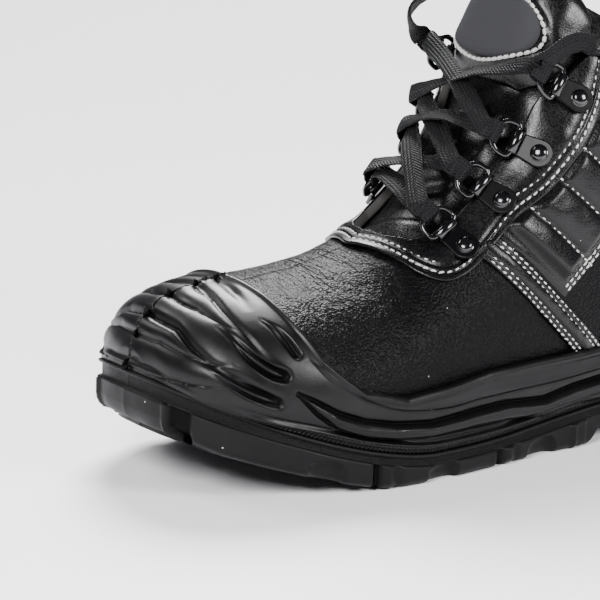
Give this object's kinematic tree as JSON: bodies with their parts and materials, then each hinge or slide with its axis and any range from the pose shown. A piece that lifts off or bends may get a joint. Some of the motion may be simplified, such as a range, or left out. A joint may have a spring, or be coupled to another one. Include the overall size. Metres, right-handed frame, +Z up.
{
  "type": "steel toe safety shoe",
  "caption": "Ankle-high laced safety boot with a ribbed moulded toe guard, lugged sole, quilted ankle panels, D-ring lacing and a padded tongue.",
  "frame": {"origin": "on the floor, under the middle of the boot's bounding box, with the loose lace ends left out", "axes": "+X towards the toe, +Y towards the wearer's left (outer side), +Z up"},
  "size_m": [0.305, 0.1096, 0.181],
  "materials": {
    "outsole": "matt moulded",
    "midsole": "satin moulded",
    "grain_leather": "pebbled, satin gloss",
    "smooth_leather": "smooth, glossy",
    "lining": "brushed textile",
    "lace": "flat braided",
    "black_metal": "gloss black",
    "patch": "matt coated"
  },
  "bodies": {
    "root": {"outsole": "outsole", "midsole": "midsole", "upper": "grain_leather", "insole": "lining", "tongue": "smooth_leather", "facing": "smooth_leather", "ankle_pad": "smooth_leather", "band_outer": "smooth_leather", "band_inner": "smooth_leather", "tongue_pad": "smooth_leather", "tongue_patch": "patch", "lace_crossings": "lace", "lace_end_outer": "lace", "lace_end_inner": "lace", "clip_outer_1": "black_metal", "ring_outer_1": "black_metal", "clip_outer_2": "black_metal", "ring_outer_2": "black_metal", "clip_outer_3": "black_metal", "ring_outer_3": "black_metal", "clip_outer_4": "black_metal", "ring_outer_4": "black_metal", "clip_inner_1": "black_metal", "ring_inner_1": "black_metal", "clip_inner_2": "black_metal", "ring_inner_2": "black_metal", "clip_inner_3": "black_metal", "ring_inner_3": "black_metal", "clip_inner_4": "black_metal", "ring_inner_4": "black_metal"}
  },
  "joints": []
}
